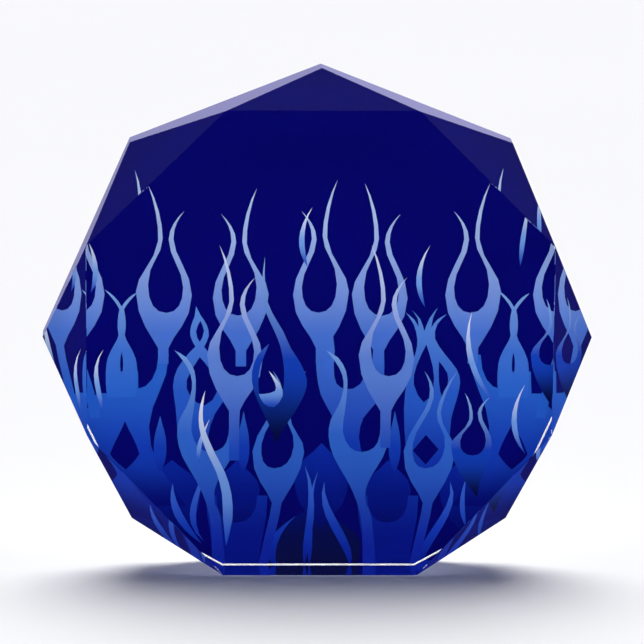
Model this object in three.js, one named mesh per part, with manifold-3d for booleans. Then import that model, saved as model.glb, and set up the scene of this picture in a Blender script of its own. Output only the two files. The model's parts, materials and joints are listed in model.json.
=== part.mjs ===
// Free-standing crystal award: a clear eight-sided block that stands on one cut corner, with
// seven cut corners on its front face and a flame picture printed on its flat back.
// Millimetres, +Z up, front towards -Y, origin at the middle of the foot's footprint.

import * as THREE from 'three';
import { ConvexGeometry } from 'three/addons/geometries/ConvexGeometry.js';
import { mergeVertices } from 'three/addons/utils/BufferGeometryUtils.js';
import Module from 'manifold-3d';

const wasm = await Module();
wasm.setup();

// ---------------------------------------------------------------- driving dimensions

// Outline of the block, from its centre: one corner up, lowest corner cut flat as the foot.
// The two side corners sit SIDE_OFFSET further left than true symmetry would put them.
const APEX_RISE = 62.6;
const SHOULDER_HALF_WIDTH = 44.4;
const SHOULDER_RISE = 45.2;
const SIDE_HALF_WIDTH = 64;
const SIDE_DROP = 0.5;
const SIDE_OFFSET = 0.6;
const LOWER_HALF_WIDTH = 43.8;
const LOWER_DROP = 43.4;
const FOOT_HALF_WIDTH = 22.5;
const FOOT_DROP = 55.0;

// Depth of the block, and how far back each cut corner reaches at its tip.
const BLOCK_DEPTH = 18.4;
const CORNER_CUT_DEPTH = 10.3;

// Print: bare rim around the colour, how much smaller the white is, and the film thicknesses.
const BARE_RIM = 0.2;
const WHITE_CHOKE = 0.2;
const COAT_OVERHANG = 0.1;
const INK_PITCH = 0.03;
const INK_THICKNESS = 0.028;
const WHITE_THICKNESS = 0.05;
const COAT_THICKNESS = 0.1;
const FILM_CLEARANCE = 0.002;

// Size that the flame artwork is drawn at: half its width, and its height above its foot line.
const ART_HALF_WIDTH = 63.8;
const ART_FOOT = -54.8;
const ART_HEIGHT = 117.2;

// Order of the ink, from the block's back face outwards.
const LAYERS = [
  'spark',
  'spark_back',
  'ember',
  'middle',
  'lower',
  'lower_back',
  'bottom',
  'bottom_back',
  'upper',
  'leaf',
  'knot',
  'skirt',
  'mass',
  'bed',
  'floor',
  'ground',
];

// ---------------------------------------------------------------- finishes

function finish(color, roughness, metalness = 0) {
  return new THREE.MeshStandardMaterial({ color, roughness, metalness });
}

const INK_COLOURS = {
  spark: 0x9db8ee,
  ember: 0x0c1f78,
  middle: 0x4a76cf,
  lower: 0x3560c4,
  upper: 0x3a66cc,
  leaf: 0x2a52bb,
  bed: 0x0b2390,
  bottom: 0x1c41b4,
};

// ---------------------------------------------------------------- solids

function toSolid(geometry) {
  const bare = geometry.clone();
  bare.deleteAttribute('normal');
  bare.deleteAttribute('uv');
  const merged = mergeVertices(bare, 1e-5);
  const vertProperties = new Float32Array(merged.attributes.position.array);
  const triVerts = new Uint32Array(merged.index.array);
  return new wasm.Manifold(new wasm.Mesh({ numProp: 3, vertProperties, triVerts }));
}

function toGeometry(solid) {
  const mesh = solid.getMesh();
  const geometry = new THREE.BufferGeometry();
  geometry.setAttribute('position', new THREE.BufferAttribute(mesh.vertProperties, 3));
  geometry.setIndex(new THREE.BufferAttribute(mesh.triVerts, 1));
  geometry.computeVertexNormals();
  return geometry;
}

// The shape with its curves drawn as short straight lines, no two corners in one place, and
// its holes going round the other way from its outline.
function polygon(shape, curveSegments) {
  const tidied = (points, clockwise) => {
    const apart = points.filter((point, i) => {
      return point.distanceTo(points[(i + 1) % points.length]) > 1e-3;
    });
    return THREE.ShapeUtils.isClockWise(apart) === clockwise ? apart : apart.reverse();
  };
  const drawn = shape.extractPoints(curveSegments);
  const made = new THREE.Shape(tidied(drawn.shape, true));
  made.holes = drawn.holes.map((hole) => new THREE.Path(tidied(hole, false)));
  return made;
}

// A flat shape drawn in X and Z, as a plate from y = front to y = front + thickness.
function plate(shape, front, thickness, curveSegments = 4) {
  const geometry = new THREE.ExtrudeGeometry(polygon(shape, curveSegments), {
    depth: thickness,
    bevelEnabled: false,
  });
  geometry.rotateX(Math.PI / 2);
  geometry.translate(0, front + thickness, 0);
  return geometry;
}

// ---------------------------------------------------------------- block outline

// Corners clockwise from the apex, seen from the front, with z measured from the foot.
function outline() {
  const right = [
    [SHOULDER_HALF_WIDTH, SHOULDER_RISE],
    [SIDE_HALF_WIDTH, -SIDE_DROP],
    [LOWER_HALF_WIDTH, -LOWER_DROP],
    [FOOT_HALF_WIDTH, -FOOT_DROP],
  ];
  const left = right.map(([x, z]) => [-x, z]).reverse();
  const offset = (z) => (z === -SIDE_DROP ? SIDE_OFFSET : 0);
  const corners = [[0, APEX_RISE], ...right, ...left];
  return corners.map(([x, z]) => new THREE.Vector2(x - offset(z), z + FOOT_DROP));
}

// The outline with every side moved inwards by the same amount.
function insetOutline(inset) {
  const corners = outline();
  const sides = corners.map((corner, i) => {
    const along = corners[(i + 1) % corners.length].clone().sub(corner).normalize();
    const inward = new THREE.Vector2(along.y, -along.x);
    return { start: corner.clone().addScaledVector(inward, inset), along };
  });
  return sides.map((side, i) => {
    const before = sides[(i + sides.length - 1) % sides.length];
    const offset = side.start.clone().sub(before.start);
    const reach = offset.cross(side.along) / before.along.cross(side.along);
    return before.start.clone().addScaledVector(before.along, reach);
  });
}

function midpoint(a, b) {
  return a.clone().add(b).multiplyScalar(0.5);
}

// The front face keeps the middle of each side and the whole foot; each other corner is cut
// back to CORNER_CUT_DEPTH by one flat facet.
function crystalBlock() {
  const corners = outline();
  const [apex, upRight, right, lowRight, footRight, footLeft, lowLeft, left, upLeft] = corners;
  const frontFace = [
    midpoint(apex, upRight),
    midpoint(upRight, right),
    midpoint(right, lowRight),
    footRight,
    footLeft,
    midpoint(lowLeft, left),
    midpoint(left, upLeft),
    midpoint(upLeft, apex),
  ];
  const cutTips = [apex, upRight, right, lowRight, lowLeft, left, upLeft];
  const at = (y) => (point) => new THREE.Vector3(point.x, y, point.y);
  return new ConvexGeometry([
    ...frontFace.map(at(0)),
    ...cutTips.map(at(CORNER_CUT_DEPTH)),
    ...corners.map(at(BLOCK_DEPTH)),
  ]);
}

// ---------------------------------------------------------------- flame artwork

// The artwork is stretched to fill the printed area, so it follows the block's outline.
const ART_SCALE_X = (SIDE_HALF_WIDTH - BARE_RIM) / ART_HALF_WIDTH;
const ART_SCALE_Z = (APEX_RISE + FOOT_DROP - 2 * BARE_RIM) / ART_HEIGHT;

function artX(x) {
  return x * ART_SCALE_X;
}

function artZ(z) {
  return BARE_RIM + (z - ART_FOOT) * ART_SCALE_Z;
}

// A pen that draws curves in artwork units around a flame's own origin.
class Pen {
  constructor(originX, originZ, bend = (x, z) => [x, z]) {
    this.shape = new THREE.Shape();
    this.place = (x, z) => {
      const [bentX, bentZ] = bend(x, z);
      return [artX(originX + bentX), artZ(originZ + bentZ)];
    };
  }

  start(x, z) {
    this.shape.moveTo(...this.place(x, z));
    return this;
  }

  curve(...points) {
    const [a, b, end] = [points.slice(0, 2), points.slice(2, 4), points.slice(4, 6)];
    this.shape.bezierCurveTo(...this.place(...a), ...this.place(...b), ...this.place(...end));
    return this;
  }

  line(x, z) {
    this.shape.lineTo(...this.place(x, z));
    return this;
  }

  // Goes on smoothly through all the points, and leaves a corner at the last one.
  through(...points) {
    const corners = points.map(([x, z]) => new THREE.Vector2(...this.place(x, z)));
    const curve = new THREE.SplineCurve([this.shape.currentPoint.clone(), ...corners]);
    const steps = curve.getPoints(2 * points.length).slice(1);
    steps.forEach((step) => this.shape.lineTo(step.x, step.y));
    return this;
  }
}

// Height of the two arms as drawn, before they are stretched to the height asked for.
const TALL_ARM = 30.1;
const SHORT_ARM = 24;

// A lick with two curling arms round a drop-shaped opening, above a narrow stem. Its origin
// is the bottom of the opening. The tall arm is on the side that tall says (1 right, -1 left),
// size scales its width, and lean moves the tips sideways. The stem sways towards the tall arm
// and is cut off square, or where point is given the lick closes to a point there instead.
function tulip({
  x, z, tall = 1, size = 1, high = TALL_ARM, low = SHORT_ARM, lean = 0, stem = 12, sway = 0, point,
}) {
  const bend = (px, pz) => [tall * size * px + lean * Math.max(0, pz / TALL_ARM) ** 1.2, pz];
  const up = high / TALL_ARM;
  const over = low / SHORT_ARM;
  const upBowl = Math.min(up, 1);
  const overBowl = Math.min(over, 1);
  const pen = new Pen(x, z, bend);
  if (point) {
    pen.start(point[0], point[1]);
  } else {
    pen.start(1.9 + sway, -stem);
    pen.curve(1.9 + sway, -stem + 3, 1.9, -10.5, 1.9, -8.3);
  }
  pen.curve(3, -6, 7.1, -1.5, 7.1, 5 * upBowl);
  pen.curve(7.1, 9 * up, 2.6, 11.8 * up, 1.95, 17 * up);
  pen.curve(1.7, 20.5 * up, 2.9, 26.5 * up, 4.3, TALL_ARM * up);
  pen.curve(2.3, 26.6 * up, 0.9, 21.5 * up, 0.9, 17.5 * up);
  pen.curve(0.9, 13.5 * up, 4.3, 12 * up, 4.3, 6.7 * upBowl);
  pen.curve(4.3, 2.2 * upBowl, 2.6, 0, 0, 0);
  pen.curve(-2.6, 0, -3.9, 2.4 * overBowl, -3.9, 6 * overBowl);
  pen.curve(-3.9, 10.2 * over, -0.5, 13.2 * over, -0.5, 17.3 * over);
  pen.curve(-0.5, 20 * over, -2.4, 22.4 * over, -4.1, SHORT_ARM * over);
  pen.curve(-2.8, 22.2 * over, -1.6, 20.5 * over, -1.6, 17.4 * over);
  pen.curve(-1.6, 13.5 * over, -5.9, 9.5 * over, -5.9, 4.2 * overBowl);
  if (point) {
    pen.curve(-5.9, -2.2, -1.6, -4.8, point[0], point[1]);
  } else {
    pen.curve(-5.9, -2.2, -1.6, -4.8, -0.5, -8.3);
    pen.curve(-0.5, -10.5, -0.5 + sway, -stem + 3, -0.5 + sway, -stem);
  }
  return pen.shape;
}

// A single wisp from a pointed root at its origin to a pointed tip. near and far pull it
// sideways at a third and at two thirds of its height.
function wisp({ x, z, height, width, near, far, tip }) {
  const pen = new Pen(x, z);
  pen.start(0, 0);
  pen.curve(near + width, height * 0.28, far + 0.55 * width, height * 0.66, tip, height);
  pen.curve(far - 0.45 * width, height * 0.62, near - width, height * 0.3, 0, 0);
  return pen.shape;
}

// A winding wisp through the given places, each with half its width there.
function ribbon(places) {
  const pen = new Pen(0, 0);
  const [root, ...rest] = places;
  const back = [root, ...rest.slice(0, -1)].reverse();
  pen.start(root.x, root.z);
  pen.through(...rest.map(({ x, z, half }) => [x + half, z]));
  pen.through(...back.map(({ x, z, half }) => [x - half, z]));
  return pen.shape;
}

// A lens that is pointed at both ends.
function lens({ x, z, half, top, bottom }) {
  const pen = new Pen(x, z);
  pen.start(0, -bottom);
  pen.curve(half * 0.7, -bottom * 0.7, half, -bottom * 0.45, half, 0);
  pen.curve(half, top * 0.45, half * 0.25, top * 0.7, 0, top);
  pen.curve(-half * 0.25, top * 0.7, -half, top * 0.45, -half, 0);
  pen.curve(-half, -bottom * 0.45, -half * 0.7, -bottom * 0.7, 0, -bottom);
  return pen.shape;
}

// A leaf with a slit down its middle, a pinched neck, and two short horns on top.
function hornedLeaf({ x, z }) {
  const pen = new Pen(x, z);
  pen.start(3.4, -14.5);
  pen.curve(4, -10, 3.6, -6.2, 3.2, -5.2);
  pen.curve(2.2, -2.4, 0.9, -1.2, 0.7, 0.2);
  pen.curve(1.2, 2.2, 0.9, 4.6, 0.5, 6.2);
  pen.curve(1.2, 7.6, 2.4, 8.8, 3.6, 10.2);
  pen.curve(2.4, 9.8, 1, 8.6, 0, 6.9);
  pen.curve(-1, 8.8, -2.6, 10.2, -4, 10.9);
  pen.curve(-2.6, 9.4, -1.2, 7.8, -0.5, 6.2);
  pen.curve(-0.9, 4.6, -1.2, 2.2, -0.7, 0.2);
  pen.curve(-0.9, -1.2, -2.2, -2.4, -3.2, -5.2);
  pen.curve(-3.6, -6.2, -4, -10, -3.4, -14.5);
  const slit = new Pen(x, z);
  slit.start(0, -9.6);
  slit.curve(0.5, -7.6, 0.5, -5.8, 0, -3.8);
  slit.curve(-0.5, -5.8, -0.5, -7.6, 0, -9.6);
  pen.shape.holes.push(slit.shape);
  return pen.shape;
}

// A body that hangs from two stems and joins them with a round valley between.
function skirt({ from, to, stem, top, valley, foot, end }) {
  const pen = new Pen(0, 0);
  const drop = top - end;
  const [valleyX, valleyZ] = valley;
  pen.start(from - stem, top);
  pen.curve(from - stem, top - 0.45 * drop, foot[0], end + 0.4 * drop, foot[0], end);
  pen.line(foot[1], end);
  pen.curve(foot[1], end + 0.4 * drop, to + stem, top - 0.45 * drop, to + stem, top);
  pen.line(to - stem, top);
  pen.curve(to - stem, (top + 2 * valleyZ) / 3, (to + valleyX) / 2, valleyZ, valleyX, valleyZ);
  pen.curve((from + valleyX) / 2, valleyZ, from + stem, (top + 2 * valleyZ) / 3, from + stem, top);
  return pen.shape;
}

// The body behind the right middle lick, which joins two stems of the main row. Its waist
// narrows into the bowl of the lower row.
function innerBody() {
  const pen = new Pen(0, 0);
  pen.start(-0.9, -4);
  pen.through([-0.7, -9], [0.3, -14.5], [2.8, -19.2], [5.6, -26], [6.5, -29]);
  pen.line(10.2, -29);
  pen.through([9.3, -24.5], [10.3, -20], [13.2, -16.5], [15, -12], [15, -4]);
  pen.line(12.6, 0);
  pen.through([12.3, -6], [9.5, -12], [6.4, -13.2], [3.9, -11.8], [3.3, -8], [3.5, -4]);
  pen.line(3, 0);
  pen.line(0, 0);
  return pen.shape;
}

// A lower lick whose left arm curls to a tip and whose right arm is the stem above it.
function leaningLick(dx) {
  const pen = new Pen(dx, 0);
  pen.start(1.5, -4);
  pen.through([3.7, -6.7], [5.3, -9.8], [5.6, -13.2], [4.4, -17.2], [2.7, -20.4], [2.2, -24.4],
    [3.4, -29.2], [6.6, -34.8], [9, -40.2], [10.2, -46.5], [10.4, -56]);
  pen.line(13.6, -56);
  pen.through([12.4, -43.6], [11.1, -40.6], [11, -37], [12.5, -33.4], [14.9, -29.4],
    [16.4, -24.6], [16.8, -18]);
  pen.line(14.5, -18);
  pen.through([14.2, -24], [12.9, -27], [10, -28.1], [7.2, -27], [5.5, -23.2], [6, -18.2],
    [6.5, -13.2], [6.2, -9], [4.3, -5.7], [1.5, -4]);
  return pen.shape;
}

// Two stems that cross and end in four horns, over a body with a diamond window.
function hornedKnot() {
  const pen = new Pen(0, 0);
  pen.start(20.2, -26);
  pen.through([19.8, -18], [20.6, -10], [22.4, -4.6], [22.8, -1.4], [21.9, 2.2], [20, 5]);
  pen.through([22, 3.3], [23, 1.6]);
  pen.through([22.8, 3.6], [21.5, 5.5]);
  pen.through([23.4, 3.4], [24.4, 0.6]);
  pen.through([25.6, 3.6], [27.5, 6.2]);
  pen.through([26.4, 3.8], [26, 1.4]);
  pen.through([27.4, 3.3], [29.6, 4.6]);
  pen.through([27.4, 2.2], [26.9, -1.2], [29.2, -4.8], [32, -8.4], [32.9, -11.6], [32, -16],
    [30.9, -20], [30.4, -26], [29, -33]);
  pen.line(21.4, -33);
  pen.line(20.2, -26);
  const windows = [
    [[24.9, -2.6], [22.7, -7.4], [22, -12], [24.4, -16.3], [26.6, -13], [26.5, -8], [24.9, -2.6]],
    [[27.9, -6.6], [29.9, -9.4], [29.9, -12.4], [28.7, -15], [27.9, -11.4], [27.9, -6.6]],
  ];
  windows.forEach(([first, ...rest]) => {
    pen.shape.holes.push(new Pen(0, 0).start(...first).through(...rest).shape);
  });
  const diamond = new Pen(0, 0).start(25, -24).line(28, -27.5).line(25, -31.1).line(21.9, -27.8);
  pen.shape.holes.push(diamond.shape);
  return pen.shape;
}

// Two stems that cross under a small pointed loop, over a wide body with a round window.
function loopedKnot() {
  const pen = new Pen(0, 0);
  pen.start(-33, -25);
  pen.through([-33.6, -17.4], [-34.2, -12.4], [-33.2, -8.4], [-30.6, -4.8], [-29, -3.2]);
  pen.through([-30.2, -0.6], [-30, 1.8], [-29.2, 4]);
  pen.line(-28.9, 6.4);
  pen.line(-27.8, 4.2);
  pen.through([-26.4, 2], [-25.9, -0.6], [-27, -3.2]);
  pen.through([-25.2, -5.4], [-22.6, -9], [-21.4, -14], [-24.4, -19], [-26, -24.4], [-25.4, -29]);
  pen.line(-31.4, -29);
  pen.line(-33, -25);
  const windows = [
    [[-27.9, 3], [-27, 0.6], [-28, -2], [-28.9, 0.4], [-27.9, 3]],
    [[-28, -5.6], [-25.6, -8.6], [-23.8, -13.6], [-26.8, -17.1], [-30.2, -14.8], [-31, -11],
      [-28, -5.6]],
  ];
  windows.forEach(([first, ...rest]) => {
    pen.shape.holes.push(new Pen(0, 0).start(...first).through(...rest).shape);
  });
  return pen.shape;
}

// The dark lick left of the middle: a wide right arm that ends in a tall tip.
function tallEmber() {
  const pen = new Pen(0, 0);
  pen.start(-10.2, -26);
  pen.through([-8.2, -22.4], [-5.4, -18], [-3.4, -14], [-3, -10.8], [-4.5, -7], [-6.8, -3.4],
    [-8.6, 0.6], [-11.2, 5], [-12.8, 10], [-12.9, 18.2]);
  pen.through([-13.7, 10], [-12.6, 5], [-10.8, 1], [-9.2, -3], [-8.4, -7.4], [-8.3, -11.4],
    [-8.9, -15], [-11, -17.5], [-13.5, -15.8], [-14.3, -12], [-13.8, -7.6], [-11.8, -2.4]);
  pen.through([-14.4, -5], [-15.8, -9], [-15.4, -13.4], [-13.4, -18.2], [-11.6, -22], [-10.2, -26]);
  return pen.shape;
}

// The bright crescent in the bowl of the tall ember.
function crescent() {
  const pen = new Pen(0, 0);
  pen.start(-11.9, -8.8);
  pen.through([-9.2, -11.9], [-8.6, -14.8], [-10.6, -17.4], [-13, -16.6], [-14.2, -14.3]);
  pen.through([-12.8, -14.3], [-10.4, -13.6], [-10.4, -11.8], [-11.9, -8.8]);
  return pen.shape;
}

// The wide body at each side of the picture that an outer lick and a horned leaf grow from,
// with a pointed window in it. side is -1 on the left and 1 on the right.
function mass(side) {
  const pen = new Pen(0, 0, (x, z) => [side * x, z]);
  pen.start(37.6, -5);
  pen.line(35.2, -5);
  pen.curve(35.2, -12, 39.4, -15.5, 39.8, -22);
  pen.curve(40, -29, 36.5, -33, 31, -41);
  pen.line(47, -41);
  pen.line(62, -22);
  pen.curve(57, -21, 53.5, -18.5, 52, -14.2);
  pen.line(49.6, -14.2);
  pen.line(49.4, -9);
  pen.line(42.4, -9);
  pen.line(42.3, -13.1);
  pen.curve(40, -13.1, 37.6, -10, 37.6, -5);
  const gap = new Pen(0, 0, (x, z) => [side * x, z]);
  gap.start(45.4, -20.8);
  gap.curve(46.4, -23.4, 48, -26, 48.9, -28.6);
  gap.curve(48.2, -30, 46.6, -31.2, 45.2, -32.3);
  gap.curve(43.6, -31, 42.6, -29.6, 42, -28.6);
  gap.curve(42.8, -25.6, 44.4, -23.4, 45.4, -20.8);
  pen.shape.holes.push(gap.shape);
  return pen.shape;
}

// Sideways distance after which the middle and lower rows repeat.
const REPEAT = 35.4;

// Main row of tall licks, from the left side of the picture to the right.
const UPPER_ROW = [
  { x: -56.1, z: 5, tall: -1, stem: 25, sway: -4.5 },
  { x: -35.8, z: 4.8, tall: -1 },
  { x: -19.1, z: 4.2, tall: 1 },
  { x: -0.4, z: 4.9, tall: 1, high: 31.3 },
  { x: 14.5, z: 4.2, tall: -1, high: 31.3, stem: 16 },
  { x: 35.1, z: 4.9, tall: 1, high: 30.6 },
  { x: 55.6, z: 5, tall: 1, stem: 25, sway: -4.5 },
];

// Two pale licks in front of the main row.
const MIDDLE_ROW = [
  { x: 16.2 - REPEAT, z: -10.1, tall: -1, high: 31, low: 23.4, stem: 20 },
  { x: 16.2, z: -10.1, tall: -1, high: 31, low: 23.4, stem: 17 },
];

// The narrower licks of the lower row, between the leaning ones.
const NARROW_LICK = {
  x: 24.9, z: -32, size: 0.93, high: 23.2, low: 23.2, lean: 4.6, stem: 25, sway: -3.6,
};
const LOWER_ROW = [
  leaningLick(-REPEAT),
  tulip({ ...NARROW_LICK, x: NARROW_LICK.x - REPEAT }),
  leaningLick(0),
  tulip(NARROW_LICK),
];

// Dark licks that lie over the pale ones.
const EMBERS = [
  tallEmber(),
  tulip({ x: 36, z: -28.9, tall: -1, size: 0.74, high: 15, low: 14, lean: 2.6, point: [-1.6, -10] }),
  tulip({ x: 53.8, z: -7.4, tall: -1, size: 0.66, high: 15.8, low: 12, lean: 4, point: [0, -9] }),
];

const HORNED_LEAVES = [-46.2, 45.3].map((x) => ({ x, z: -0.6 }));

// Bodies that join two stems at the foot of the lower row.
const FOOT_SKIRT = {
  from: 10.2, to: 22.2, stem: 1.2, top: -38.5, valley: [16, -45], foot: [11, 21.4], end: -56,
};
const LEFT_FOOT_SKIRT = {
  ...FOOT_SKIRT,
  from: FOOT_SKIRT.from - REPEAT,
  to: FOOT_SKIRT.to - REPEAT,
  valley: [FOOT_SKIRT.valley[0] - REPEAT, FOOT_SKIRT.valley[1]],
  foot: FOOT_SKIRT.foot.map((x) => x - REPEAT),
};
const SKIRTS = [innerBody(), skirt(LEFT_FOOT_SKIRT), skirt(FOOT_SKIRT)];

const SMALL_LEAVES = [
  { x: -37.2, z: -27, half: 1.5, top: 7.5, bottom: 6 },
  { x: 17.7 - REPEAT, z: -27, half: 1.4, top: 8.6, bottom: 6 },
  { x: 17.7, z: -27, half: 1.4, top: 8.6, bottom: 6 },
];

// Dark bodies low down that the lower licks stand in front of.
const BED = [
  { x: -34.4, z: -37, half: 6.8, top: 7, bottom: 13 },
  { x: 16.2 - REPEAT, z: -37, half: 5.4, top: 7, bottom: 11 },
  { x: 0.6, z: -34, half: 6.4, top: 8, bottom: 12 },
  { x: 16.2, z: -37, half: 5.4, top: 7, bottom: 11 },
  { x: 34.6, z: -36, half: 6.4, top: 7, bottom: 12 },
];

// Near-black body at the very foot.
const FLOOR = { x: -1.4, z: -50, half: 11.4, top: 9, bottom: 14 };

// The long pale wisp at the lower left.
const LONG_SPARK = [
  { x: -21.7, z: -50.5, half: 0 },
  { x: -21.3, z: -44, half: 1.1 },
  { x: -21.6, z: -38, half: 1.1 },
  { x: -23, z: -33, half: 1 },
  { x: -25.2, z: -28.5, half: 0.9 },
  { x: -27, z: -24, half: 0.7 },
  { x: -27.7, z: -20.5, half: 0.5 },
  { x: -27.5, z: -17, half: 0.35 },
  { x: -26.7, z: -13.5, half: 0 },
];

// Pale wisps over everything.
const SPARKS = [
  { x: 48.3, z: -28.5, height: 16.5, width: 1.1, near: -3.4, far: -3.8, tip: -0.2 },
  { x: -28, z: -31, height: 10.8, width: 0.9, near: -0.8, far: 0.4, tip: 2.4 },
  { x: -51, z: -19, height: 15.3, width: 1, near: 0.6, far: -3.4, tip: 0.6 },
  { x: 41.4, z: -17, height: 22.3, width: 1.2, near: -5.6, far: -8.4, tip: -5.9 },
  { x: -2.9, z: 15.6, height: 14.2, width: 1.1, near: -1.9, far: -2.4, tip: 1 },
  { x: 24.5, z: 6.2, height: 14.7, width: 1.1, near: -2, far: -2.4, tip: 1.1 },
  { x: 46.6, z: 16, height: 15, width: 1, near: 0.2, far: 0.9, tip: 1.9 },
  { x: -53.4, z: 9.6, height: 11.6, width: 1, near: 1.6, far: 1.4, tip: -0.4 },
  { x: -56, z: -19.6, height: 24.4, width: 1.5, near: -2, far: -4.6, tip: -6.4 },
];

const BOTTOM_WISPS = [
  { x: -9.6, z: -55.6, height: 12.3, width: 2.2, near: -3.4, far: -1.4, tip: 4.3 },
  { x: -3.4, z: -55.6, height: 24.2, width: 1.5, near: 0.2, far: 3.4, tip: 0.1 },
  { x: -2.2, z: -55.6, height: 23, width: 1.2, near: 0.6, far: -1.2, tip: 2 },
  { x: 7.4, z: -55.6, height: 20.4, width: 2, near: 0.8, far: -8, tip: -6.1 },
  { x: 24.3, z: -55.6, height: 20.4, width: 2, near: -1.4, far: 9, tip: 6.5 },
  { x: 34.6, z: -46, height: 11.8, width: 1, near: -1.2, far: -1.3, tip: 0 },
  { x: -26.8, z: -49.5, height: 18.5, width: 1.3, near: -5.6, far: -1, tip: 0.3 },
  { x: -27.4, z: -50, height: 14.4, width: 1.8, near: -4.6, far: -7.6, tip: -6.8 },
];

// ---------------------------------------------------------------- assembly

const award = new THREE.Group();

const printedArea = toSolid(plate(
  new THREE.Shape(insetOutline(BARE_RIM)),
  BLOCK_DEPTH - INK_PITCH,
  INK_PITCH * (LAYERS.length + 1),
));

function add(name, geometry, material) {
  const mesh = new THREE.Mesh(geometry, material);
  mesh.name = name;
  award.add(mesh);
}

function inkFront(layer) {
  return BLOCK_DEPTH + FILM_CLEARANCE + LAYERS.indexOf(layer) * INK_PITCH;
}

// Neighbours that cross each other lie on two layers in turn.
function alternate(layer, i) {
  return i % 2 ? `${layer}_back` : layer;
}

// Lays one flame area on its own layer, trimmed to the printed area. If the edge of the print
// cuts off a tip, only the main part of the area is kept.
function addInk(name, shape, layer, colour = layer, curveSegments = 4) {
  const geometry = plate(shape, inkFront(layer), INK_THICKNESS, curveSegments);
  const areas = toSolid(geometry).intersect(printedArea).decompose();
  const main = areas.reduce((kept, area) => (area.volume() > kept.volume() ? area : kept));
  add(name, toGeometry(main), finish(INK_COLOURS[colour], 0.5));
}

function addSheet(name, inset, front, thickness, material) {
  add(name, plate(new THREE.Shape(insetOutline(inset)), front, thickness), material);
}

add('crystal_block', crystalBlock(), finish(0xf4f8ff, 0.05));

UPPER_ROW.forEach((lick, i) => addInk(`flame_upper_${i + 1}`, tulip(lick), 'upper'));
MIDDLE_ROW.forEach((lick, i) => addInk(`flame_middle_${i + 1}`, tulip(lick), 'middle'));
LOWER_ROW.forEach((lick, i) => {
  addInk(`flame_lower_${i + 1}`, lick, alternate('lower', i), 'lower');
});
EMBERS.forEach((lick, i) => addInk(`flame_ember_${i + 1}`, lick, 'ember'));
HORNED_LEAVES.forEach((lick, i) => addInk(`flame_leaf_${i + 1}`, hornedLeaf(lick), 'leaf'));
SMALL_LEAVES.forEach((lick, i) => addInk(`flame_bud_${i + 1}`, lens(lick), 'leaf'));
addInk('flame_knot_1', loopedKnot(), 'knot', 'leaf');
addInk('flame_knot_2', hornedKnot(), 'knot', 'leaf');
SKIRTS.forEach((body, i) => addInk(`flame_skirt_${i + 1}`, body, 'skirt', 'lower'));
[-1, 1].forEach((side, i) => addInk(`flame_mass_${i + 1}`, mass(side), 'mass', 'leaf'));
BED.forEach((body, i) => addInk(`flame_bed_${i + 1}`, lens(body), 'bed'));
addInk('flame_floor', lens(FLOOR), 'floor', 'bed');
[ribbon(LONG_SPARK), crescent(), ...SPARKS.map(wisp)].forEach((shape, i) => {
  addInk(`flame_spark_${i + 1}`, shape, alternate('spark', i), 'spark', 8);
});
BOTTOM_WISPS.forEach((lick, i) => {
  addInk(`flame_bottom_${i + 1}`, wisp(lick), alternate('bottom', i), 'bottom', 8);
});

const groundFront = inkFront('ground');
const whiteFront = groundFront + INK_PITCH;
const coatFront = whiteFront + WHITE_THICKNESS + FILM_CLEARANCE;
addSheet('ink_ground', BARE_RIM, groundFront, INK_THICKNESS, finish(0x04045a, 0.5));
addSheet('white_flood', BARE_RIM + WHITE_CHOKE, whiteFront, WHITE_THICKNESS, finish(0xf2f2f0, 0.6));
addSheet('clear_coat', BARE_RIM - COAT_OVERHANG, coatFront, COAT_THICKNESS, finish(0xe9edf2, 0.15));

// The foot's middle is the origin.
award.position.y = -(coatFront + COAT_THICKNESS) / 2;

export default award;
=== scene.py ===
"""Looks of a free-standing crystal award: a polished clear block with a flame print on its back.

The block is rebuilt with softened edges, the printed areas get their own inks, and the white
and the varnish behind them get a print-room finish. All lengths are in metres.
"""

import json
import logging
import math
from collections.abc import Callable
from dataclasses import dataclass, field
from enum import Enum

import bmesh
import bpy
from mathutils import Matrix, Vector

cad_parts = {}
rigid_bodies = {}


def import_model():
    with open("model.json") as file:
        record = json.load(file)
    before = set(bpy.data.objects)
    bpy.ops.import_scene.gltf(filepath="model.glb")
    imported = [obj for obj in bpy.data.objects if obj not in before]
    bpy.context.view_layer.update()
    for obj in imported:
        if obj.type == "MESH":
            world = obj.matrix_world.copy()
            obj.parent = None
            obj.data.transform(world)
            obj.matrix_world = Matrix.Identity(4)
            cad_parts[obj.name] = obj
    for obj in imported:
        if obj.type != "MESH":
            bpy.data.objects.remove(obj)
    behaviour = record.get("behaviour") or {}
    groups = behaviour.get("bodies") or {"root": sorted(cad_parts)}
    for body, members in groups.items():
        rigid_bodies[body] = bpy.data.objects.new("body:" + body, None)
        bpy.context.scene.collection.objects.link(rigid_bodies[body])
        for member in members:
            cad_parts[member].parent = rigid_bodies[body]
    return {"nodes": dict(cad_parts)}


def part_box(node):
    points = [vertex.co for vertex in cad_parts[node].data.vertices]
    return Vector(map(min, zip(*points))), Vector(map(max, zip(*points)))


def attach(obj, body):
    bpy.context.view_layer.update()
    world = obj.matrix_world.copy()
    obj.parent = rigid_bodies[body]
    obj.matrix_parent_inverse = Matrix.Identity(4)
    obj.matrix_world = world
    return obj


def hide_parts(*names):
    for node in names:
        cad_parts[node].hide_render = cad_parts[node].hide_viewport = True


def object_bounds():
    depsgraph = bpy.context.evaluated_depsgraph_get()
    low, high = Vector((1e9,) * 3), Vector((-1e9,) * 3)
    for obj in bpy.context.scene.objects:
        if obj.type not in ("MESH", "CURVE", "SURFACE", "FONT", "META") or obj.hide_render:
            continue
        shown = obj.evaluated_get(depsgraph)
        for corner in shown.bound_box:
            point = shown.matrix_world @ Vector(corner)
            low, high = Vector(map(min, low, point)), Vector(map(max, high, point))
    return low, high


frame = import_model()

CAD_LOW, CAD_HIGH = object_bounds()
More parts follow.
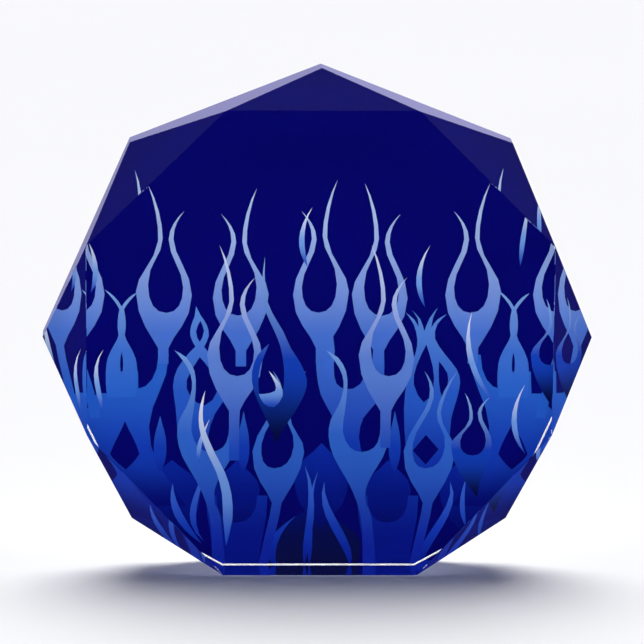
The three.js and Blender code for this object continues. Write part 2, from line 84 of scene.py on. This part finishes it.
ROOT_BODY = "root"
MM = 0.001

# How bright a weak ink looks through the block, and the share of its light that the block returns.
FRONT_BRIGHTNESS = 0.86
RETURNED_SHARE = 0.55

SPECK_SCALE = 5200.0
SPECK_ROUGHNESS = (0.5, 0.65)
CLOUD_SCALE = 34.0
CLOUD_RANGE = (0.35, 0.7)

MERGE_DISTANCE = 0.001 * MM
FLAT_ANGLE = math.radians(0.5)

logging.basicConfig(level=logging.INFO, format="%(message)s")
log = logging.getLogger("award")

Colour = tuple[float, float, float]
Value = float | tuple[float, ...] | bpy.types.NodeSocket


# ------------------------------------------------------------------ colours


def srgb(red: int, green: int, blue: int) -> Colour:
    """Turns a display colour into the linear colour that shaders use.

    Args:
        red: Red from 0 to 255.
        green: Green from 0 to 255.
        blue: Blue from 0 to 255.

    Returns:
        The same colour as three linear values from 0 to 1.
    """
    def linear(value: float) -> float:
        """Turns one display channel into its linear value.

        Args:
            value: The channel from 0 to 1.

        Returns:
            The linear value from 0 to 1.
        """
        return value / 12.92 if value <= 0.04045 else ((value + 0.055) / 1.055) ** 2.4

    return linear(red / 255), linear(green / 255), linear(blue / 255)


def rgba(colour: Colour) -> tuple[float, float, float, float]:
    """Gives a colour full opacity.

    Args:
        colour: The linear colour.

    Returns:
        The colour with an opacity of 1.
    """
    return (*colour, 1.0)


def under_acrylic(seen: Colour) -> Colour:
    """Own colour of an ink that has the wanted colour when seen through the block.

    The block sends part of the light that leaves the ink back to it, so pale inks gain most.

    Args:
        seen: Linear colour as seen from the front.

    Returns:
        Linear colour of the ink itself.
    """
    red, green, blue = (value / (FRONT_BRIGHTNESS + RETURNED_SHARE * value) for value in seen)
    return red, green, blue


# ------------------------------------------------------------------ shader nodes


def set_inputs(tree: bpy.types.NodeTree, node: bpy.types.Node, inputs: dict[str | int, Value]) -> None:
    """Sets or links a node's inputs.

    Args:
        tree: The tree that holds the node.
        node: The node.
        inputs: For each input, by name or number, the value it holds or the output that feeds it.
    """
    for socket, value in inputs.items():
        if isinstance(value, bpy.types.NodeSocket):
            tree.links.new(value, node.inputs[socket])
        else:
            node.inputs[socket].default_value = value


def add_node(
    tree: bpy.types.NodeTree, kind: str, inputs: dict[str | int, Value] | None = None, **settings: object
) -> bpy.types.Node:
    """Adds a node to a tree.

    Args:
        tree: The tree.
        kind: Type of the node.
        inputs: What its inputs hold or are fed by, as in set_inputs.
        **settings: The node's own settings, made before its inputs are.

    Returns:
        The new node.
    """
    node = tree.nodes.new(kind)
    for name, value in settings.items():
        setattr(node, name, value)
    set_inputs(tree, node, inputs or {})
    return node


def add_place(tree: bpy.types.NodeTree) -> bpy.types.NodeSocket:
    """Adds the node that says where on the piece a point is.

    Args:
        tree: A material's node tree.

    Returns:
        The output with the Object coordinates.
    """
    return add_node(tree, "ShaderNodeTexCoord").outputs["Object"]


def new_material(name: str) -> tuple[bpy.types.Material, bpy.types.NodeTree, bpy.types.Node]:
    """Starts a material with one Principled shader.

    Args:
        name: Name of the material.

    Returns:
        The material, its node tree and its shader.
    """
    made = bpy.data.materials.new(name)
    made.use_nodes = True
    return made, made.node_tree, made.node_tree.nodes["Principled BSDF"]


class Groups:
    """Shader node groups that more than one finish uses, each built once."""

    def __init__(self) -> None:
        """Builds every shared group."""
        self.ink = self._ink_group()
        self.haze = self._haze_group()

    @staticmethod
    def _new(name: str, inputs: dict[str, str], outputs: dict[str, str]) -> bpy.types.NodeTree:
        """Starts a group with named sockets.

        Args:
            name: Name of the group.
            inputs: Socket type of each input, by name.
            outputs: Socket type of each output, by name.

        Returns:
            The group's node tree, with its input and output nodes in place.
        """
        tree = bpy.data.node_groups.new(name, "ShaderNodeTree")
        for way, sockets in (("INPUT", inputs), ("OUTPUT", outputs)):
            for socket, kind in sockets.items():
                tree.interface.new_socket(socket, in_out=way, socket_type=kind)
        tree.nodes.new("NodeGroupInput").name = "In"
        tree.nodes.new("NodeGroupOutput").name = "Out"
        return tree

    def _ink_group(self) -> bpy.types.NodeTree:
        """Colour of a printed area that fades from its tip to its foot, with a fine print grain.

        Returns:
            The group's node tree.
        """
        tree = self._new(
            "PrintedFade",
            {
                "Coordinates": "NodeSocketVector",
                "Foot Height": "NodeSocketFloat",
                "Tip Height": "NodeSocketFloat",
                "Foot": "NodeSocketColor",
                "Middle": "NodeSocketColor",
                "Tip": "NodeSocketColor",
                "Middle Place": "NodeSocketFloat",
                "Grain": "NodeSocketFloat",
            },
            {"Colour": "NodeSocketColor", "Roughness": "NodeSocketFloat"},
        )
        given = tree.nodes["In"].outputs
        height = add_node(tree, "ShaderNodeSeparateXYZ", {0: given["Coordinates"]}).outputs["Z"]
        lower = add_node(
            tree,
            "ShaderNodeMapRange",
            {"Value": height, "From Min": given["Foot Height"], "From Max": given["Middle Place"]},
            interpolation_type="SMOOTHSTEP",
        )
        upper = add_node(
            tree,
            "ShaderNodeMapRange",
            {"Value": height, "From Min": given["Middle Place"], "From Max": given["Tip Height"]},
        )
        low_mix = add_node(
            tree,
            "ShaderNodeMix",
            {"Factor": lower.outputs["Result"], "A": given["Foot"], "B": given["Middle"]},
            data_type="RGBA",
        )
        high_mix = add_node(
            tree,
            "ShaderNodeMix",
            {"Factor": upper.outputs["Result"], "A": low_mix.outputs["Result"], "B": given["Tip"]},
            data_type="RGBA",
        )
        speck = add_node(
            tree,
            "ShaderNodeTexNoise",
            {"Vector": given["Coordinates"], "Scale": SPECK_SCALE, "Detail": 1.0},
        ).outputs["Fac"]
        centred = add_node(tree, "ShaderNodeMath", {0: speck, 1: 0.5}, operation="SUBTRACT")
        amount = add_node(
            tree,
            "ShaderNodeMath",
            {0: centred.outputs[0], 1: given["Grain"], 2: 1.0},
            operation="MULTIPLY_ADD",
        )
        tint = add_node(
            tree,
            "ShaderNodeMix",
            {"Factor": 1.0, "A": high_mix.outputs["Result"], "B": amount.outputs[0]},
            data_type="RGBA",
            blend_type="MULTIPLY",
        )
        least, most = SPECK_ROUGHNESS
        rough = add_node(tree, "ShaderNodeMapRange", {"Value": speck, "To Min": least, "To Max": most})
        made = {"Colour": tint.outputs["Result"], "Roughness": rough.outputs["Result"]}
        set_inputs(tree, tree.nodes["Out"], made)
        return tree

    def _haze_group(self) -> bpy.types.NodeTree:
        """Uneven gloss and a faint ripple, as hand polishing or a rolled-on film leaves.

        Returns:
            The group's node tree.
        """
        tree = self._new(
            "SurfaceHaze",
            {
                "Coordinates": "NodeSocketVector",
                "Ripple Scale": "NodeSocketFloat",
                "Smooth": "NodeSocketFloat",
                "Hazy": "NodeSocketFloat",
            },
            {"Roughness": "NodeSocketFloat", "Height": "NodeSocketFloat"},
        )
        given = tree.nodes["In"].outputs
        cloud = add_node(
            tree,
            "ShaderNodeTexNoise",
            {"Vector": given["Coordinates"], "Scale": CLOUD_SCALE, "Detail": 4.0},
        )
        ripple = add_node(
            tree,
            "ShaderNodeTexNoise",
            {"Vector": given["Coordinates"], "Scale": given["Ripple Scale"], "Detail": 2.0},
        )
        thin, thick = CLOUD_RANGE
        rough = add_node(
            tree,
            "ShaderNodeMapRange",
            {
                "Value": cloud.outputs["Fac"],
                "From Min": thin,
                "From Max": thick,
                "To Min": given["Smooth"],
                "To Max": given["Hazy"],
            },
        )
        made = {"Roughness": rough.outputs["Result"], "Height": ripple.outputs["Fac"]}
        set_inputs(tree, tree.nodes["Out"], made)
        return tree


# ------------------------------------------------------------------ finishes


@dataclass(frozen=True)
class Polish:
    """How evenly a surface shines, and the faint ripple in it."""

    smooth: float
    hazy: float
    ripple_scale: float
    ripple_depth: float
    ripple_strength: float

    def dress(
        self, tree: bpy.types.NodeTree, shader: bpy.types.Node, place: bpy.types.NodeSocket, groups: Groups
    ) -> None:
        """Gives a shader its uneven gloss and its ripple.

        Args:
            tree: The material's node tree.
            shader: The material's Principled shader.
            place: Output with the Object coordinates.
            groups: The shared node groups.
        """
        haze = add_node(
            tree,
            "ShaderNodeGroup",
            {
                "Coordinates": place,
                "Ripple Scale": self.ripple_scale,
                "Smooth": self.smooth,
                "Hazy": self.hazy,
            },
            node_tree=groups.haze,
        )
        bump = add_node(
            tree,
            "ShaderNodeBump",
            {
                "Strength": self.ripple_strength,
                "Distance": self.ripple_depth,
                "Height": haze.outputs["Height"],
            },
        )
        looks = {"Roughness": haze.outputs["Roughness"], "Normal": bump.outputs["Normal"]}
        set_inputs(tree, shader, looks)


@dataclass(frozen=True)
class Ink:
    """Printed ink that fades in height: dark at the foot, pale at the tip."""

    foot: Colour
    middle: Colour
    tip: Colour
    grain: float = 0.1

    def material(
        self, name: str, groups: Groups, foot_height: float, middle_height: float, tip_height: float
    ) -> bpy.types.Material:
        """Makes the ink's material for one printed area.

        Args:
            name: Name of the material.
            groups: The shared node groups.
            foot_height: Height at which the foot colour is full.
            middle_height: Height of the middle colour.
            tip_height: Height at which the tip colour is full.

        Returns:
            The new material.
        """
        made, tree, shader = new_material(name)
        fade = add_node(
            tree,
            "ShaderNodeGroup",
            {
                "Coordinates": add_place(tree),
                "Foot Height": foot_height,
                "Middle Place": middle_height,
                "Tip Height": tip_height,
                "Foot": rgba(under_acrylic(self.foot)),
                "Middle": rgba(under_acrylic(self.middle)),
                "Tip": rgba(under_acrylic(self.tip)),
                "Grain": self.grain,
            },
            node_tree=groups.ink,
        )
        looks = {
            "Base Color": fade.outputs["Colour"],
            "Roughness": fade.outputs["Roughness"],
            "Specular IOR Level": 0.0,
        }
        set_inputs(tree, shader, looks)
        return made


@dataclass(frozen=True)
class Acrylic:
    """Clear polished acrylic."""

    ior: float = 1.49
    polish: Polish = Polish(
        smooth=0.0, hazy=0.02, ripple_scale=90.0, ripple_depth=0.002 * MM, ripple_strength=0.15
    )

    def material(self, name: str, groups: Groups) -> bpy.types.Material:
        """Makes the clear material, which lets light through to what is printed behind it.

        Args:
            name: Name of the material.
            groups: The shared node groups.

        Returns:
            The new material.
        """
        made, tree, shader = new_material(name)
        looks = {"Base Color": (1.0, 1.0, 1.0, 1.0), "IOR": self.ior, "Transmission Weight": 1.0}
        set_inputs(tree, shader, looks)
        self.polish.dress(tree, shader, add_place(tree), groups)
        clear = add_node(tree, "ShaderNodeBsdfTransparent")
        ray = add_node(tree, "ShaderNodeLightPath")
        mix = add_node(
            tree,
            "ShaderNodeMixShader",
            {"Fac": ray.outputs["Is Shadow Ray"], 1: shader.outputs["BSDF"], 2: clear.outputs["BSDF"]},
        )
        set_inputs(tree, tree.nodes["Material Output"], {"Surface": mix.outputs["Shader"]})
        return made


@dataclass(frozen=True)
class Film:
    """An even opaque film, such as white ink or varnish over it."""

    colour: Colour
    coat: float
    polish: Polish
    grain: float = 0.06
    coat_roughness: float = 0.12

    def material(self, name: str, groups: Groups) -> bpy.types.Material:
        """Makes the film's material.

        Args:
            name: Name of the material.
            groups: The shared node groups.

        Returns:
            The new material.
        """
        made, tree, shader = new_material(name)
        place = add_place(tree)
        colour = rgba(self.colour)
        fade = add_node(
            tree,
            "ShaderNodeGroup",
            {
                "Coordinates": place,
                "Foot Height": CAD_LOW.z,
                "Middle Place": (CAD_LOW.z + CAD_HIGH.z) / 2,
                "Tip Height": CAD_HIGH.z,
                "Foot": colour,
                "Middle": colour,
                "Tip": colour,
                "Grain": self.grain,
            },
            node_tree=groups.ink,
        )
        looks = {
            "Base Color": fade.outputs["Colour"],
            "Coat Weight": self.coat,
            "Coat Roughness": self.coat_roughness,
        }
        set_inputs(tree, shader, looks)
        self.polish.dress(tree, shader, place, groups)
        return made


@dataclass(frozen=True)
class Paper:
    """Pale, faintly mottled backdrop paper."""

    roughness: float = 0.6
    shine: float = 0.2
    mottle_scale: float = 3.0
    dark: float = 0.9
    light: float = 0.93

    def material(self, name: str) -> bpy.types.Material:
        """Makes the paper's material.

        Args:
            name: Name of the material.

        Returns:
            The new material.
        """
        made, tree, shader = new_material(name)
        mottle = add_node(
            tree, "ShaderNodeTexNoise", {"Vector": add_place(tree), "Scale": self.mottle_scale}
        )
        shade = add_node(
            tree,
            "ShaderNodeMapRange",
            {"Value": mottle.outputs["Fac"], "To Min": self.dark, "To Max": self.light},
        )
        looks = {
            "Base Color": shade.outputs["Result"],
            "Roughness": self.roughness,
            "Specular IOR Level": self.shine,
        }
        set_inputs(tree, shader, looks)
        return made


# ------------------------------------------------------------------ modelling helpers


def deselect_all() -> None:
    """Leaves nothing selected, so that the next operator acts on its own piece only."""
    for piece in bpy.context.view_layer.objects:
        piece.select_set(False)


def activate(piece: bpy.types.Object) -> None:
    """Makes a piece the only selected one, and the active one.

    Args:
        piece: The piece.
    """
    deselect_all()
    piece.select_set(True)
    bpy.context.view_layer.objects.active = piece


def apply_modifiers(piece: bpy.types.Object) -> None:
    """Applies every modifier of a piece, in order.

    Args:
        piece: The piece.
    """
    activate(piece)
    for modifier in list(piece.modifiers):
        bpy.ops.object.modifier_apply(modifier=modifier.name)


def merged_copy(node: str, name: str) -> bpy.types.Object:
    """Copies a CAD node's mesh into a new piece and joins its loose triangles into flat faces.

    Args:
        node: Name of the CAD node.
        name: Name of the new piece.

    Returns:
        The new piece, at the origin, with one face for each flat side.
    """
    piece = bpy.data.objects.new(name, frame["nodes"][node].data.copy())
    bpy.context.scene.collection.objects.link(piece)
    piece.data.materials.clear()
    activate(piece)
    bpy.ops.object.mode_set(mode="EDIT")
    bpy.ops.mesh.select_all(action="SELECT")
    bpy.ops.mesh.customdata_custom_splitnormals_clear()
    bpy.ops.mesh.remove_doubles(threshold=MERGE_DISTANCE)
    bpy.ops.mesh.dissolve_limited(angle_limit=FLAT_ANGLE)
    bpy.ops.mesh.normals_make_consistent(inside=False)
    bpy.ops.object.mode_set(mode="OBJECT")
    return piece


def select_vertices(piece: bpy.types.Object, wanted: Callable[[Vector], bool]) -> None:
    """Enters edit mode with only the wanted vertices selected.

    Args:
        piece: The piece to edit.
        wanted: Says of a place whether the vertex there is wanted.
    """
    activate(piece)
    bpy.ops.object.mode_set(mode="EDIT")
    bpy.ops.mesh.select_mode(type="VERT")
    bpy.ops.mesh.select_all(action="DESELECT")
    mesh = bmesh.from_edit_mesh(piece.data)
    for vertex in mesh.verts:
        vertex.select = wanted(vertex.co)
    mesh.select_flush(True)
    bmesh.update_edit_mesh(piece.data)


def dress_node(name: str, material: bpy.types.Material) -> None:
    """Gives a CAD node one material in place of its own.

    Args:
        name: Name of the node.
        material: The material.
    """
    materials = frame["nodes"][name].data.materials
    materials.clear()
    materials.append(material)


# ------------------------------------------------------------------ sub-assemblies


@dataclass
class ClearBlock:
    """The polished block, with softened arrises and the print sunk into its back."""

    groups: Groups
    finish: Acrylic = Acrylic()
    arris: float = 0.1 * MM
    arris_steps: int = 2
    arris_angle: float = math.radians(40)
    smooth_angle: float = math.radians(4)
    overlap: float = 0.01 * MM
    piece: bpy.types.Object = field(init=False)

    def build(self) -> None:
        """Models the block from its CAD solid, so that it keeps every facet."""
        self.piece = merged_copy("crystal_block", "polished_block")
        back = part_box("crystal_block")[1].y
        print_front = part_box("ink_ground")[0].y
        select_vertices(self.piece, lambda place: place.y > back - self.overlap)
        bpy.ops.transform.translate(value=(0.0, print_front - back + self.overlap, 0.0))
        bpy.ops.object.mode_set(mode="OBJECT")
        bevel = self.piece.modifiers.new("arris", "BEVEL")
        bevel.width = self.arris
        bevel.segments = self.arris_steps
        bevel.limit_method = "ANGLE"
        bevel.angle_limit = self.arris_angle
        apply_modifiers(self.piece)
        bpy.ops.object.shade_smooth_by_angle(angle=self.smooth_angle)
        self.piece.data.materials.append(self.finish.material("polished_acrylic", self.groups))
        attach(self.piece, ROOT_BODY)
        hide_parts("crystal_block")
        log.info("polished_block: %d faces", len(self.piece.data.polygons))


class Row(Enum):
    """Families of printed flame areas, named as their CAD nodes are."""

    UPPER = "upper"
    MIDDLE = "middle"
    LOWER = "lower"
    EMBER = "ember"
    LEAF = "leaf"
    BUD = "bud"
    KNOT = "knot"
    SKIRT = "skirt"
    MASS = "mass"
    BED = "bed"
    FLOOR = "floor"
    SPARK = "spark"
    BOTTOM = "bottom"


@dataclass
class FlamePrint:
    """The flame picture: one ink for each family of areas, faded over that family's height.

    Sparks and embers lie at many heights, so each of them fades over its own height instead.
    """

    groups: Groups
    centre: float = 55.0 * MM
    own_fade: frozenset[Row] = frozenset({Row.SPARK, Row.EMBER})
    own_middle: float = 0.45
    own_tip: float = 0.95
    ground: Ink = Ink(srgb(4, 4, 88), srgb(4, 4, 88), srgb(5, 5, 90), grain=0.08)
    made: dict[Row, bpy.types.Material] = field(default_factory=dict)

    @staticmethod
    def inks() -> dict[Row, tuple[Ink, tuple[float, float, float]]]:
        """Lists the ink of each family.

        Returns:
            For each family its ink, and the foot, middle and tip heights of its fade in
            millimetres above the centre.
        """
        return {
            Row.UPPER: (Ink(srgb(28, 76, 186), srgb(60, 98, 200), srgb(165, 190, 240)), (-14, 0, 34)),
            Row.MIDDLE: (Ink(srgb(22, 60, 172), srgb(80, 114, 206), srgb(188, 202, 244)), (-31, -6, 20)),
            Row.LOWER: (Ink(srgb(13, 30, 144), srgb(40, 86, 191), srgb(98, 138, 217)), (-52, -24, -5)),
            Row.EMBER: (Ink(srgb(4, 7, 50), srgb(16, 52, 166), srgb(112, 152, 222)), (-24, -8, 15)),
            Row.LEAF: (Ink(srgb(34, 84, 193), srgb(50, 95, 198), srgb(104, 142, 219)), (-15, -4, 10)),
            Row.BUD: (Ink(srgb(6, 20, 120), srgb(16, 48, 162), srgb(38, 84, 190)), (-36, -27, -18)),
            Row.KNOT: (Ink(srgb(14, 40, 150), srgb(32, 76, 187), srgb(72, 116, 210)), (-32, -14, 4)),
            Row.SKIRT: (Ink(srgb(6, 18, 118), srgb(16, 48, 162), srgb(54, 96, 200)), (-50, -26, -4)),
            Row.MASS: (Ink(srgb(4, 8, 94), srgb(16, 48, 162), srgb(34, 84, 193)), (-41, -27, -11)),
            Row.BED: (Ink(srgb(4, 8, 86), srgb(5, 18, 112), srgb(10, 36, 150)), (-48, -38, -26)),
            Row.FLOOR: (Ink(srgb(8, 12, 58), srgb(6, 11, 66), srgb(4, 14, 96)), (-54, -48, -42)),
            Row.SPARK: (Ink(srgb(24, 62, 178), srgb(96, 138, 224), srgb(218, 228, 252)), (-30, -5, 25)),
            Row.BOTTOM: (Ink(srgb(8, 28, 138), srgb(16, 46, 164), srgb(48, 88, 200)), (-54, -46, -34)),
        }

    def build(self) -> None:
        """Gives every printed area and the ground behind them its ink."""
        for name in sorted(frame["nodes"]):
            if name.startswith("flame_"):
                row = Row(name.split("_")[1])
                dress_node(name, self._area_material(name, row))
                log.info("%s: %s ink", name, row.value)
        low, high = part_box("ink_ground")
        middle = (low.z + high.z) / 2
        dress_node("ink_ground", self.ground.material("ink_ground", self.groups, low.z, middle, high.z))
        log.info("ink_ground: navy ink")

    def _area_material(self, name: str, row: Row) -> bpy.types.Material:
        """Finds or makes the material of one printed area.

        Args:
            name: Name of the area's CAD node.
            row: The area's family.

        Returns:
            The material, which a family shares unless each of its areas has its own fade.
        """
        ink, heights = self.inks()[row]
        if row in self.own_fade:
            low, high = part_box(name)
            rise = high.z - low.z
            middle, tip = low.z + self.own_middle * rise, low.z + self.own_tip * rise
            return ink.material(f"ink_{name}", self.groups, low.z, middle, tip)
        if row not in self.made:
            foot, middle, tip = (self.centre + height * MM for height in heights)
            self.made[row] = ink.material(f"ink_{row.value}", self.groups, foot, middle, tip)
        return self.made[row]


@dataclass
class Backing:
    """The white ink and the varnish that close the back of the print."""

    groups: Groups
    white: Film = Film(
        colour=srgb(238, 238, 236),
        coat=0.0,
        polish=Polish(
            smooth=0.45, hazy=0.6, ripple_scale=900.0, ripple_depth=0.01 * MM, ripple_strength=0.4
        ),
    )
    varnish: Film = Film(
        colour=srgb(226, 229, 234),
        coat=0.6,
        polish=Polish(
            smooth=0.22, hazy=0.38, ripple_scale=1400.0, ripple_depth=0.02 * MM, ripple_strength=0.4
        ),
    )

    def build(self) -> None:
        """Dresses the two films."""
        for name, film in (("white_flood", self.white), ("clear_coat", self.varnish)):
            dress_node(name, film.material(f"{name}_film", self.groups))
            log.info("%s: film", name)


# ------------------------------------------------------------------ studio


@dataclass
class Studio:
    """Pale floor, soft light and the camera. Angles are in degrees."""

    camera_place: tuple[float, float, float] = (-45.7 * MM, -1346.5 * MM, 281.0 * MM)
    camera_yaw: float = -1.96
    camera_pitch: float = 9.39
    camera_roll: float = 0.39
    lens: float = 328.1
    sensor: float = 36.0
    view_reach: float = 30.0
    floor_radius: float = 9.0
    floor_drop: float = 0.2 * MM
    paper: Paper = Paper()
    mirrored_colour: Colour = (0.57, 0.56, 0.94)
    seen_strength: float = 0.97
    fill_strength: float = 0.06

    def build(self) -> None:
        """Builds the whole studio."""
        bpy.context.scene.view_settings.view_transform = "Standard"
        self._camera()
        self._floor()
        self._world()
        self._lights()

    def _camera(self) -> None:
        """Places the camera as a long lens a little left of the award and above it."""
        data = bpy.data.cameras.new("studio_camera")
        data.lens = self.lens
        data.sensor_width = self.sensor
        data.clip_end = self.view_reach
        camera = bpy.data.objects.new("studio_camera", data)
        yaw, pitch, roll = map(math.radians, (self.camera_yaw, self.camera_pitch, self.camera_roll))
        level = math.cos(pitch)
        ahead = Vector((-math.sin(yaw) * level, math.cos(yaw) * level, -math.sin(pitch)))
        camera.location = self.camera_place
        camera.rotation_euler = ahead.to_track_quat("-Z", "Y").to_euler("XYZ")
        camera.rotation_euler.rotate_axis("Z", roll)
        bpy.context.scene.collection.objects.link(camera)
        bpy.context.scene.camera = camera

    def _floor(self) -> None:
        """Lays a wide floor of pale paper just below the award's foot."""
        deselect_all()
        under = -self.floor_drop
        bpy.ops.mesh.primitive_circle_add(
            vertices=96, radius=self.floor_radius, fill_type="NGON", location=(0, 0, under)
        )
        floor = bpy.context.active_object
        floor.name = "studio_floor"
        floor.data.materials.append(self.paper.material("studio_paper"))
        floor.visible_glossy = False

    def _world(self) -> None:
        """A room that is bright behind the award, and dark in front of it and below it."""
        world = bpy.data.worlds.new("studio_room")
        bpy.context.scene.world = world
        world.use_nodes = True
        room = world.node_tree
        room.nodes.clear()
        where = add_node(room, "ShaderNodeTexCoord")
        split = add_node(room, "ShaderNodeSeparateXYZ", {0: where.outputs["Generated"]})
        behind = add_node(
            room,
            "ShaderNodeMapRange",
            {"Value": split.outputs["Y"], "From Min": -0.45, "From Max": 0.9, "To Min": 0.01},
            interpolation_type="SMOOTHSTEP",
        )
        above = add_node(
            room,
            "ShaderNodeMapRange",
            {"Value": split.outputs["Z"], "From Min": -0.3, "From Max": 0.05, "To Min": 0.15},
        )
        strength = add_node(
            room,
            "ShaderNodeMath",
            {0: behind.outputs["Result"], 1: above.outputs["Result"]},
            operation="MULTIPLY",
        )
        white = rgba((1.0, 1.0, 1.0))
        mirrored = self._background(room, rgba(self.mirrored_colour), strength.outputs[0])
        seen = self._background(room, white, self.seen_strength)
        fill = self._background(room, white, self.fill_strength)
        ray = add_node(room, "ShaderNodeLightPath").outputs
        unseen = self._either(room, ray["Is Diffuse Ray"], mirrored, fill)
        surface = self._either(room, ray["Is Camera Ray"], unseen, seen)
        add_node(room, "ShaderNodeOutputWorld", {"Surface": surface})
        world.cycles.sampling_method = "NONE"

    @staticmethod
    def _background(
        room: bpy.types.NodeTree, colour: tuple[float, ...], strength: Value
    ) -> bpy.types.NodeSocket:
        """Adds a background to the room's shader.

        Args:
            room: The room's node tree.
            colour: Colour of the background.
            strength: How bright it is, or the output that says so.

        Returns:
            The background's shader output.
        """
        return add_node(room, "ShaderNodeBackground", {"Color": colour, "Strength": strength}).outputs[0]

    @staticmethod
    def _either(
        room: bpy.types.NodeTree,
        test: bpy.types.NodeSocket,
        otherwise: bpy.types.NodeSocket,
        where_true: bpy.types.NodeSocket,
    ) -> bpy.types.NodeSocket:
        """Chooses between two shaders.

        Args:
            room: The room's node tree.
            test: Output that is 0 or 1.
            otherwise: Shader to use where the test is 0.
            where_true: Shader to use where the test is 1.

        Returns:
            The chosen shader's output.
        """
        return add_node(room, "ShaderNodeMixShader", {"Fac": test, 1: otherwise, 2: where_true}).outputs[0]

    def _lights(self) -> None:
        """Lights the floor from above and behind, and the print evenly from the front."""
        self._sky_light("back_light", (0.0, 0.6, 1.0), strength=3.68, spread=38.0, shadow=True)
        self._sky_light("front_light", (0.0, -1.0, 0.05), strength=1.72, spread=10.0, shadow=False)

    @staticmethod
    def _sky_light(
        name: str, source: tuple[float, float, float], strength: float, spread: float, shadow: bool
    ) -> None:
        """Adds one distant soft light, which leaves no bright spot on polished faces.

        Args:
            name: Name of the light.
            source: Direction in which the light is seen from the award.
            strength: Its irradiance in watts per square metre.
            spread: Angle in degrees that it fills, which sets how soft its shadows are.
            shadow: Whether it casts shadows.
        """
        data = bpy.data.lights.new(name, "SUN")
        data.energy = strength
        data.angle = math.radians(spread)
        data.use_shadow = shadow
        light = bpy.data.objects.new(name, data)
        light.location = source
        light.rotation_euler = Vector(source).to_track_quat("Z", "Y").to_euler()
        light.visible_glossy = False
        bpy.context.scene.collection.objects.link(light)


def main() -> None:
    """Builds the studio and then each sub-assembly."""
    Studio().build()
    groups = Groups()
    ClearBlock(groups).build()
    FlamePrint(groups).build()
    Backing(groups).build()


if __name__ == "__main__":
    main()
